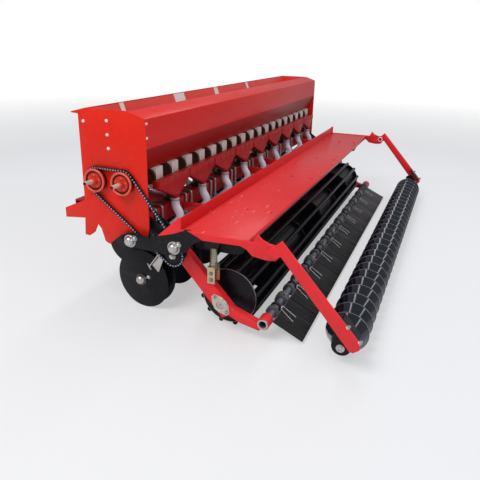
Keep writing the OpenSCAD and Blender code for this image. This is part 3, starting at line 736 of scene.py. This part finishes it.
# One side plate, waisted between its two pins
def linkPlate(form, first, second, x, plan):
    ahead = (second - first).normalized()
    across = Vector((1, 0, 0)).cross(ahead)
    middle = (first + second) / 2
    outline = []
    for pin, heading in ((second, 0), (first, math.pi)):
        for i in range(5):
            turn = heading - math.pi / 2 + math.pi * i / 4
            outline.append(pin + (ahead * math.cos(turn) + across * math.sin(turn)) * plan["plateHalf"])
        side = across if heading == 0 else -across
        outline.append(middle + side * plan["waist"])
    face = form.faces.new([form.verts.new(p + Vector((x, 0, 0))) for p in outline])
    thicken(form, face, (plan["plateThick"], 0, 0))


def makeChain(plan):
    path = chainPath(plan)
    pins = evenPath(path, plan["pitch"])[:-1]
    if len(pins) % 2:  # inner and outer plates take turns, so the count is even
        pins = evenPath(path, plan["pitch"] * len(pins) / (len(pins) + 1))[:-1]
    plates, rollers, rivets = newForms(3)
    width = plan["innerX"]
    half = plan["outerX"] + plan["plateThick"] + plan["pinRise"]
    for i, pin in enumerate(pins):
        reach = plan["outerX"] if i % 2 else plan["innerX"]
        after = pins[(i + 1) % len(pins)]
        linkPlate(plates, pin, after, reach, plan)
        linkPlate(plates, pin, after, -reach - plan["plateThick"], plan)
        turned(rollers, pin - Vector((width, 0, 0)), (1, 0, 0), [
            (0, plan["rollerRadius"]), (2 * width, plan["rollerRadius"])], 8)
        turned(rivets, pin - Vector((half, 0, 0)), (1, 0, 0), [
            (0, 0), (0, plan["pinRadius"]), (2 * half, plan["pinRadius"]), (2 * half, 0)], 6)
    links = makePiece(plates, "chain_plates", "chain_steel")
    makePiece(rollers, "chain_rollers", finish="oiledSteel")
    # Painted highlight: pale pins stand in for the bright dots on the links
    makePiece(rivets, "chain_pins", finish="pinGrey")
    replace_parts(links, "drive_chain")
    print("chain pitches", len(pins))


makeChain(chain)


# Cover on the chain guard, and domed caps on both
guard = {
    "faceX": -0.030, "coverX": -0.0565, "coverGap": 0.0003, "washer": 0.002, "radii": (0.028, 0.013),
    "caps": [(0.101, 0.471), (0.072, 0.489)], "coverCaps": [(-0.174, 0.489), (-0.201, 0.511)],
    "cover": [(-0.050, 0.500), (-0.048, 0.529), (-0.115, 0.545), (-0.183, 0.567), (-0.234, 0.590),
              (-0.256, 0.587), (-0.299, 0.568), (-0.330, 0.552), (-0.292, 0.534), (-0.258, 0.505),
              (-0.238, 0.474), (-0.205, 0.462), (-0.150, 0.447), (-0.100, 0.443), (-0.060, 0.470)],
}


def makeGuardCover(plan):
    caps, cover = newForms(2)
    washer = plan["washer"]
    for x, spots in ((plan["faceX"], plan["caps"]), (plan["coverX"], plan["coverCaps"])):
        for (y, z), radius in zip(spots, plan["radii"]):
            turned(caps, at(x, y, z), (-1, 0, 0), [(0, radius * 1.25), (washer, radius * 1.22), (washer, 0)], 28)
            dome(caps, at(x - washer, y, z), (-1, 0, 0), radius, radius * 0.8)
    makePiece(caps, "guard_caps")
    plate(cover, plan["coverX"], plan["faceX"] - plan["coverGap"] - plan["coverX"], plan["cover"])
    makePiece(cover, "guard_cover", "cast_black")


makeGuardCover(guard)


# Gussets under both ends of the plank
gusset = {
    "x": 0.1095, "thick": 0.005,
    "outline": [(-0.193, 0.486), (-0.330, 0.548), (-0.500, 0.548), (-0.498, 0.494), (-0.477, 0.450),
                (-0.430, 0.436), (-0.270, 0.436), (-0.209, 0.436)],
}


def makeGussets(plan):
    form = bmesh.new()
    for endX, outward in ends:
        endPlate(form, endX, plan["x"], plan["thick"], plan["outline"])
    makePiece(form, "plank_gussets", "cast_black")


makeGussets(gusset)


# Bolt in the low sprocket
jackBolt = {"x": -0.019, "width": 0.026}


def makeJackBolt(plan):
    form = bmesh.new()
    nut(form, at(plan["x"], *yz("jack_spin")), (-1, 0, 0), plan["width"], 1.2, 0.15)
    makePiece(form, "jack_bolt", "bright_steel", "jackshaft")


makeJackBolt(jackBolt)
print("drive dressed")


# Bright domes and dust rings on every disc hub, with one capped bolt beside each
hub = {
    "rise": 0.0188, "capRadius": 0.0288, "ringFoot": 0.006,
    "ring": [(0, 0.0325), (0.005, 0.0325), (0.0062, 0.0305), (0.0062, 0)],
    "boltAt": (-0.042, 0.020), "boltRise": 0.002, "boltWidth": 0.012, "boltCap": 0.0135, "boltCapRise": 0.005,
}


def makeHubCaps(plan):
    for joint in frame["joints"]:
        name = joint["child"]
        if "disc" not in name:
            continue
        along = Vector(joint["axis"]) * (1 if name.startswith("disc_r") else -1)
        centre = jointPlace[joint["name"]]
        face = centre + along * plan["rise"]
        bolt = centre + Vector((0, *plan["boltAt"])) + along * plan["boltRise"]
        form = bmesh.new()
        turned(form, face - along * plan["ringFoot"], along, plan["ring"], 32)
        dome(form, face, along, plan["capRadius"], sides=28)
        nut(form, bolt, along, plan["boltWidth"], 1.3, 0.3)
        dome(form, bolt + along * plan["boltCapRise"], along, plan["boltCap"], sides=14)
        makePiece(form, name + "_cap", "bright_steel", name)


makeHubCaps(hub)


# Ribbed seed hoses, one for each pair of rows, with a band at both ends
hose = {
    "radius": 0.0225, "rib": 0.0012, "ribPitch": 0.009, "bandGap": 0.004,
    "band": [(0, 0.024), (0, 0.027), (0.008, 0.027), (0.008, 0.024)],
    "routes": {  # which row of the pair has the boot, then what x is measured from, x, y and z
        "rear": (0, [("spout", 0, -0.016, 0.6475), ("spout", 0, -0.020, 0.6025), ("spout", -0.004, -0.042, 0.530),
                     ("boot", 0.012, 0.063, 0.4322), ("boot", 0, 0.083, 0.3722)]),
        "front": (1, [("spout", 0, 0.358, 0.6475), ("spout", 0, 0.358, 0.6025), ("boot", 0.035, 0.264, 0.4602),
                      ("boot", 0.035, 0.258, 0.4002)]),
    },
}


def makeHoses(plan):
    radius, rib = plan["radius"], plan["rib"]
    for side, (bootRow, route) in plan["routes"].items():
        form, bands = newForms(2)
        for index in range(0, rowCount, 2):
            startX = {"spout": pairX(index), "boot": rowX(index + bootRow)}
            points = [at(startX[start] + x, y, z) for start, x, y, z in route]
            path = evenPath(smoothPath(points), plan["ribPitch"] / 3)
            tube(form, path, radius, 16, lambda i: radius + (rib if i % 3 == 0 else 0))
            for end, away in ((points[0], Vector((0, 0, -1))), (points[-1], Vector((0, 0, 1)))):
                turned(bands, end + away * plan["bandGap"], away, plan["band"], 20)
        name = side + "_hose_tubes"
        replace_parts(makePiece(form, name, "hose_plastic", "root", 60), side + "_hoses")
        makePiece(bands, name + "_bands")


makeHoses(hose)
print("hoses and hubs made")


# U-bolts over the rear beam, with a nut under each leg
yoke = {
    "rearY": 0.020, "frontY": 0.110, "low": 0.525, "top": 0.615,  # the beam's faces
    "radius": 0.007, "gap": 0.0078, "tail": 0.018, "corner": 0.012, "cornerSteps": 6,
    "shifts": (-0.073, -0.009), "firstX": 0.02, "nutWidth": 0.019, "nutGap": 0.002,
}


def yokePath(x, plan):
    low, top = plan["low"] - plan["tail"], plan["top"] + plan["gap"]
    near, far, corner = plan["rearY"] - plan["gap"], plan["frontY"] + plan["gap"], plan["corner"]
    points = [(near, low)]
    for y, start in ((near + corner, math.pi), (far - corner, math.pi / 2)):
        for i in range(plan["cornerSteps"] + 1):
            turn = start - math.pi / 2 * i / plan["cornerSteps"]
            points.append((y + corner * math.cos(turn), top - corner + corner * math.sin(turn)))
    points.append((far, low))
    return [at(x, y, z) for y, z in points]


def makeYokes(plan):
    form = bmesh.new()
    for index in range(0, rowCount, 2):
        for x in (rowX(index) + shift for shift in plan["shifts"]):
            if x < plan["firstX"]:  # the left plate stands there
                continue
            tube(form, yokePath(x, plan), plan["radius"], 10)
            for y in (plan["rearY"] - plan["gap"], plan["frontY"] + plan["gap"]):
                nut(form, at(x, y, plan["low"] - plan["nutGap"]), (0, 0, -1), plan["nutWidth"], 1.4, 0.1)
    makePiece(form, "rear_yokes", finish="dullSteel")


makeYokes(yoke)


# Nuts that hold the clamp castings: on top, and on their rear faces
clampNuts = {
    "tops": [(-0.042, 0.068, 0.635), (0.032, 0.068, 0.635), (-0.018, 0.042, 0.653), (0.012, 0.042, 0.653)],
    "faces": [(-0.012, 0.412, 0.590), (0.032, 0.412, 0.550)], "width": 0.016,
}


def makeClampNuts(plan):
    form = bmesh.new()
    for index in range(1, rowCount, 2):
        for spots, along in ((plan["tops"], (0, 0, 1)), (plan["faces"], (0, -1, 0))):
            for shift, y, z in spots:
                nut(form, at(rowX(index) + shift, y, z), along, plan["width"], 1.3, 0.8)
    makePiece(form, "clamp_nuts", finish="dullSteel")


makeClampNuts(clampNuts)
print("beam fixings made")


# Metering units: dark round cups on their left faces, with a boss and two screws
cup = {
    "rows": (("seed_cups", 0.069), ("feed_cups", 0.326)), "x": -0.0328, "z": 0.785,
    "steps": [(0, 0.0425), (0.0125, 0.0425), (0.0135, 0.0415), (0.0135, 0.0385), (0.0118, 0.0375),
              (0.0118, 0.014), (0.0175, 0.013), (0.0175, 0)],
    "screwX": -0.0118, "screwRing": 0.02635, "screwTurns": (0.8, 3.9), "screwRadius": 0.004, "screwHeight": 0.0025,
}


def makeCups(plan):
    outward = ends[0][1]
    for name, y in plan["rows"]:
        form = bmesh.new()
        for index in range(rowCount):
            place = at(rowX(index) + plan["x"], y, plan["z"])
            turned(form, place, outward, plan["steps"], 28)
            for turn in plan["screwTurns"]:
                around = Vector((0, math.cos(turn), math.sin(turn))) * plan["screwRing"]
                dome(form, place + around + Vector((plan["screwX"], 0, 0)), outward,
                     plan["screwRadius"], plan["screwHeight"], 8)
        makePiece(form, name, "meter_plastic", finish="cupBrown")


makeCups(cup)


# Pleats of the funnel skirts: upright beads, and one along the top and the foot
pleat = {"ys": (-0.0213, 0.4163), "low": 0.736, "top": 0.7755, "radius": 0.0025, "half": 0.160555,
         "shares": (-1, -0.5, 0, 0.5, 1)}


def makePleats(plan):
    form = bmesh.new()
    low, top, half = plan["low"], plan["top"], plan["half"]
    for y in plan["ys"]:
        for index in range(0, rowCount, 2):
            middle = pairX(index)
            beads = [((middle + half * share, low), (middle + half * share, top)) for share in plan["shares"]]
            beads += [((middle - half, z), (middle + half, z)) for z in (low, top)]
            for start, end in beads:
                tube(form, [at(x, y, z) for x, z in (start, end)], plan["radius"], 8)
    makePiece(form, "funnel_pleats", "plank_red", finish="funnelRed")


makePleats(pleat)
print("metering band made")


# Lift screws, one at each end: rolled thread with its nut, and the bolts through the block
lift = {
    "x": 0.077, "y": -0.331, "low": 0.372, "turns": 14, "stepsPerTurn": 16, "radius": 0.0165, "pitch": 0.010,
    "ridge": 0.0032, "nutWidth": 0.038, "pinZ": (0.302, 0.338), "faceX": 0.044, "backX": 0.110, "headWidth": 0.017,
}


def makeLiftScrews(plan):
    thread, fixings = newForms(2)
    for endX, outward in ends:
        foot = at(endX(plan["x"]), plan["y"], plan["low"])
        path = []
        for i in range(plan["turns"] * plan["stepsPerTurn"] + 1):
            share = i / plan["stepsPerTurn"]
            turn = math.tau * share
            path.append(foot + Vector((math.cos(turn) * plan["radius"], math.sin(turn) * plan["radius"],
                                       plan["pitch"] * share)))
        tube(thread, path, plan["ridge"], 5)
        nut(thread, foot, (0, 0, 1), plan["nutWidth"], 1.02, 0)
        for z in plan["pinZ"]:
            for x, along, tail in ((plan["faceX"], outward, 0.2), (plan["backX"], -outward, 0.5)):
                nut(fixings, at(endX(x), plan["y"], z), along, plan["headWidth"], 1.3, tail)
    makePiece(thread, "lift_threads", "zinc_yellow", "roller_arm", finish="dullSteel")
    makePiece(fixings, "lift_pins", "bright_steel", "roller_arm", finish="dullSteel")


makeLiftScrews(lift)


# Flange bearings of the cage roller: stepped zinc rings, two bolts, the axle's end, and a steel ring on the drum's
# rim that is a painted highlight
flange = {
    "faceX": 0.046, "lean": math.radians(48), "plateThick": 0.0015,
    "plate": [(-0.064, -0.012), (-0.064, 0.012), (-0.024, 0.038), (0.024, 0.038), (0.064, 0.012),
              (0.064, -0.012), (0.024, -0.038), (-0.024, -0.038)],
    "rings": [(0, 0.0415), (0.004, 0.0405), (0.004, 0.034), (0.007, 0.033), (0.007, 0.0295), (0.0056, 0.0285),
              (0.0056, 0.0215), (0, 0.0205)],
    "boltReach": 0.050, "boltWidth": 0.017,
    "axleX": 0.042, "axle": [(0, 0.0197), (0.0006, 0.0177), (0.0006, 0.006), (0, 0.004), (0, 0)],
    "rimX": 0.158, "rim": [(-0.001, 0.154), (0.0006, 0.154), (0.0006, 0.156), (-0.0005, 0.1566), (-0.001, 0.154)],
}


def makeFlanges(plan):
    y, z = yz("cage_spin")
    thick = plan["plateThick"]
    cos, sin = math.cos(plan["lean"]), math.sin(plan["lean"])
    outline = [(y + a * cos - b * sin, z + a * sin + b * cos) for a, b in plan["plate"]]
    zinc, bolts, axle, highlightRims = newForms(4)
    for endX, outward in ends:
        endPlate(zinc, endX, plan["faceX"] - thick, thick, outline)
        face = at(endX(plan["faceX"] - thick), y, z)
        turned(zinc, face, outward, plan["rings"], 40)
        for reach in (-plan["boltReach"], plan["boltReach"]):
            nut(bolts, face + Vector((0, reach * cos, reach * sin)), outward, plan["boltWidth"], 1.25, 0.45)
        turned(axle, at(endX(plan["axleX"]), y, z), outward, plan["axle"], 28)
        # Painted highlight: a thin steel-coloured ring on the drum's rim edge
        turned(highlightRims, at(endX(plan["rimX"]), y, z), outward, plan["rim"], 72)
    makePiece(zinc, "cage_flanges", "bright_steel", "roller_arm", finish="paleZinc")
    makePiece(bolts, "flange_bolts", "bright_steel", "roller_arm")
    makePiece(axle, "cage_axle_ends", "bright_steel", "cage_roller")
    makePiece(highlightRims, "cage_rim_highlights", "disc_black", "cage_roller", finish="dullSteel")


makeFlanges(flange)
print("roller arms dressed")


# Flap tube: bright end rings, and for each flap a dark sleeve, a pair of clamps with a nut, and two pale lines that
# are painted highlights on its edges
flapRow = {
    "start": 0.124, "count": 10, "clampShares": (0.78, 0.86), "clamp": (0.0323, 0.0365, 0.011),
    "sleeveShare": 0.40, "sleeve": (0.0243, 0.030, 0.020),  # inner radius, radius, width
    "nutShare": 0.80, "nutRise": 0.036, "nutWidth": 0.014, "ringX": 0.048,
    "ring": [(-0.004, 0.0195), (0.0012, 0.0195), (0.003, 0.0205), (0.003, 0.0285), (0.0015, 0.0295),
             (-0.004, 0.0295)],
    "tip": (-0.826, 0.012), "lineShares": (0.10, 0.53), "lines": ((0.143, 0.100), (0.176, 0.152)),
    "lineWidth": 0.0042, "lineGap": 0.0004, "lineThick": 0.0006,
}


def ringBand(form, place, band):
    inner, radius, width = band
    chamfer = 0.001
    turned(form, place, (1, 0, 0), [
        (0, inner), (0, radius - chamfer), (chamfer, radius), (width - chamfer, radius), (width, radius - chamfer),
        (width, inner)], 28)


def makeFlapRow(plan):
    y, z = yz("flap_swing")
    pitch = (machineLength - 2 * plan["start"]) / plan["count"]
    bright, dark, lines, rings = newForms(4)
    fall = Vector((0, plan["tip"][0] - y, plan["tip"][1] - z))
    along = fall.normalized()
    above = Vector((0, along.z, -along.y))
    near, far = (along * (fall.length * share) + above * plan["lineGap"] for share in plan["lineShares"])
    width = Vector((plan["lineWidth"], 0, 0))
    for i in range(plan["count"]):
        low = plan["start"] + i * pitch
        for share in plan["clampShares"]:
            ringBand(bright, at(low + share * pitch, y, z), plan["clamp"])
        nut(bright, at(low + plan["nutShare"] * pitch, y, z) + above * plan["nutRise"], above,
            plan["nutWidth"], 1.3, 0.6)
        ringBand(dark, at(low + plan["sleeveShare"] * pitch, y, z), plan["sleeve"])
        # Painted highlight: two pale strips on each flap stand in for its bright edges
        for start, end in plan["lines"]:
            first, last = at(low + start, y, z) + near, at(low + end, y, z) + far
            face = lines.faces.new([lines.verts.new(spot) for spot in (first, last, last + width, first + width)])
            thicken(lines, face, above * plan["lineThick"])
    for endX, outward in ends:
        turned(rings, at(endX(plan["ringX"]), y, z), outward, plan["ring"], 32)
    makePiece(bright, "flap_clamps", "bright_steel", "flaps", finish="dullSteel")
    makePiece(dark, "flap_sleeves", "flap_rubber", "flaps", finish="sleeveRubber")
    makePiece(lines, "flap_edges", "bright_steel", "flaps", finish="paleEdge")
    makePiece(rings, "tube_rings", "bright_steel", "roller_arm")


makeFlapRow(flapRow)


# Ring roller: cones that open to the right, each with a rolled bead at its rim
ringRoller = {
    "start": 0.060, "count": 27, "sides": 72, "hub": 0.058, "radius": 0.110, "back": 0.070, "bead": 0.0035,
    "waistRise": 0.026, "rimDrop": 0.004, "footShare": 0.01, "waistShare": 0.42, "rimShare": 0.86, "backShare": 0.97,
    "shaft": (0.004, 0.015),  # its place along X and its radius
}


def makeRingRoller(plan):
    y, z = yz("ring_spin")
    pitch = (machineLength - 2 * plan["start"]) / plan["count"]
    radius, bead = plan["radius"], plan["bead"]
    profile = [(0, 0), (0, plan["hub"])]
    for i in range(plan["count"]):
        foot = i * pitch
        rim = foot + plan["rimShare"] * pitch
        profile += [(foot + plan["footShare"] * pitch, plan["hub"]),
                    (foot + plan["waistShare"] * pitch, plan["hub"] + plan["waistRise"]),
                    (rim - 2.2 * bead, radius - plan["rimDrop"])]
        for j in range(6):
            turn = math.pi * (0.9 - j / 5)
            profile.append((rim + bead * math.cos(turn), radius - bead + bead * math.sin(turn)))
        profile += [(rim + 0.4 * bead, radius - 3 * bead), (foot + plan["backShare"] * pitch, plan["back"])]
    profile += [(plan["count"] * pitch, plan["back"]), (plan["count"] * pitch, 0)]
    form = bmesh.new()
    turned(form, at(plan["start"], y, z), (1, 0, 0), profile, plan["sides"])
    low, thick = plan["shaft"]
    length = machineLength - 2 * low
    turned(form, at(low, y, z), (1, 0, 0), [(0, 0), (0, thick), (length, thick), (length, 0)], 24)
    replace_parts(makePiece(form, "ring_roller_cones", "roller_black", "ring_roller", 50), "ring_roller")


makeRingRoller(ringRoller)
print("ring roller made")


# Red bars of the rear arms with their eyes, two bolts on each, and the bushes at the swing pin
rearArm = {
    "faceX": -0.070, "thick": 0.012, "bevel": 0.002,
    "bar": [(-0.700, 0.590), (-0.736, 0.625), (-1.130, 0.191), (-1.127, 0.161), (-1.099, 0.140),
            (-1.081, 0.143), (-0.735, 0.547), (-0.700, 0.534)],
    "eyeX": -0.071, "eye": [(0, 0), (0, 0.026), (0.002, 0.028), (0.012, 0.028), (0.014, 0.026), (0.014, 0)],
    "boltX": -0.064, "boltWidth": 0.018, "bolts": [(-1.062, 0.261), (-1.122, 0.197)], "lean": (0, -0.741, 0.671),
    "bushX": -0.041, "bush": [(0, 0.0155), (0, 0.023), (0.007, 0.022), (0.008, 0.0155)],
    "bushCap": [(0, 0.015), (0.007, 0.015), (0.0085, 0.012), (0.0085, 0)],
}


# Feet that carry the ring roller: plate, strap to the bar, round housing, and the nut on the axle
ringFoot = {
    "x": 0, "thick": 0.010, "strapX": -0.059,
    "foot": [(-1.115, 0.165), (-1.090, 0.132), (-1.062, 0.100), (-1.045, 0.086), (-1.015, 0.086),
             (-1.002, 0.100), (-0.990, 0.150), (-1.000, 0.225), (-1.040, 0.250)],
    "strap": [(-1.119, 0.196), (-1.111, 0.189), (-1.029, 0.284), (-1.037, 0.291)],
    "housing": [(0, 0), (0, 0.048), (0.036, 0.048), (0.040, 0.042), (0.040, 0)],
    "nut": [(0, 0.021), (0.008, 0.021), (0.010, 0.018), (0.010, 0.0152), (0.014, 0.0150), (0.015, 0.013),
            (0.015, 0.010), (0.011, 0.009), (0.011, 0)],
}


def makeRearGear(arm, foot):
    swing, ring = yz("rear_arm_float"), yz("ring_spin")
    inner = foot["x"] + foot["thick"]
    bars, feet, bolts, bushes, nuts = newForms(5)
    for endX, outward in ends:
        endPlate(bars, endX, arm["faceX"], arm["thick"], arm["bar"])
        endPlate(feet, endX, foot["x"], foot["thick"], foot["foot"])
        endPlate(feet, endX, foot["strapX"], inner - foot["strapX"], foot["strap"])
    roundEdges(bars, bars.edges[:], arm["bevel"])
    for endX, outward in ends:
        eye = at(endX(arm["eyeX"]), *swing)
        turned(bars, eye, -outward, arm["eye"], 36)
        turned(feet, at(endX(inner), *ring), -outward, foot["housing"], 36)
        for y, z in arm["bolts"]:
            nut(bolts, at(endX(arm["boltX"]), y, z), arm["lean"], arm["boltWidth"], 1.2, 0.4)
        turned(bushes, at(endX(arm["bushX"]), *swing), -outward, arm["bush"], 28)
        turned(nuts, at(endX(foot["x"]), *ring), outward, foot["nut"], 24)
    turned(bushes, eye, outward, arm["bushCap"], 24)  # on the far end alone
    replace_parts(makePiece(bars, "rear_arm_bars", "arm_red", "rear_arm"), "rear_arms")
    makePiece(feet, "ring_bearing_feet", "arm_red", "rear_arm", finish="cast_black")
    makePiece(bolts, "rear_arm_bolts", "bright_steel", "rear_arm")
    makePiece(bushes, "swing_bushes", "meter_plastic", finish="nylon")
    makePiece(nuts, "ring_axle_nuts", "bright_steel", "ring_roller")


makeRearGear(rearArm, ringFoot)
print("rear gear dressed")


# Carriage bolts of the plank over its brackets
plankBolts = {"rails": (0.411, 1.241, 1.905, 2.735), "ys": (-0.235, -0.38, -0.52), "z": 0.5852, "radius": 0.008,
              "height": 0.004}


def makePlankBolts(plan):
    form = bmesh.new()
    for x in plan["rails"]:
        for y in plan["ys"]:
            dome(form, at(x, y, plan["z"]), (0, 0, 1), plan["radius"], plan["height"], 14)
    makePiece(form, "plank_bolts", "plank_red")


makePlankBolts(plankBolts)


# Hitch side: a linch pin with its ring through each lower pin
hitch = {"y": 0.620, "z": 0.480, "inset": 0.012, "half": 0.026, "pinRadius": 0.0045, "ringRadius": 0.026,
         "ringLean": 0.013, "ringGap": 0.002, "ringTube": 0.0018, "ringSteps": 24}


def makeHitchPins(plan):
    form = bmesh.new()
    radius, steps = plan["ringRadius"], plan["ringSteps"]
    low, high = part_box("lower_links")
    for sign, edge in ((-1, low.x), (1, high.x)):
        place = Vector((edge - sign * plan["inset"], rearFace + plan["y"], plan["z"]))
        top, foot = (place + Vector((0, 0, half)) for half in (plan["half"], -plan["half"]))
        tube(form, [top, foot], plan["pinRadius"], 10)
        ring = []
        for turn in (math.tau * i / steps for i in range(steps + 1)):
            out = plan["ringGap"] + plan["ringLean"] * (1 - math.cos(turn))
            ring.append(top + Vector((sign * out, radius * math.sin(turn), 0)))
        tube(form, ring, plan["ringTube"], 6)
    makePiece(form, "linch_pins")


makeHitchPins(hitch)
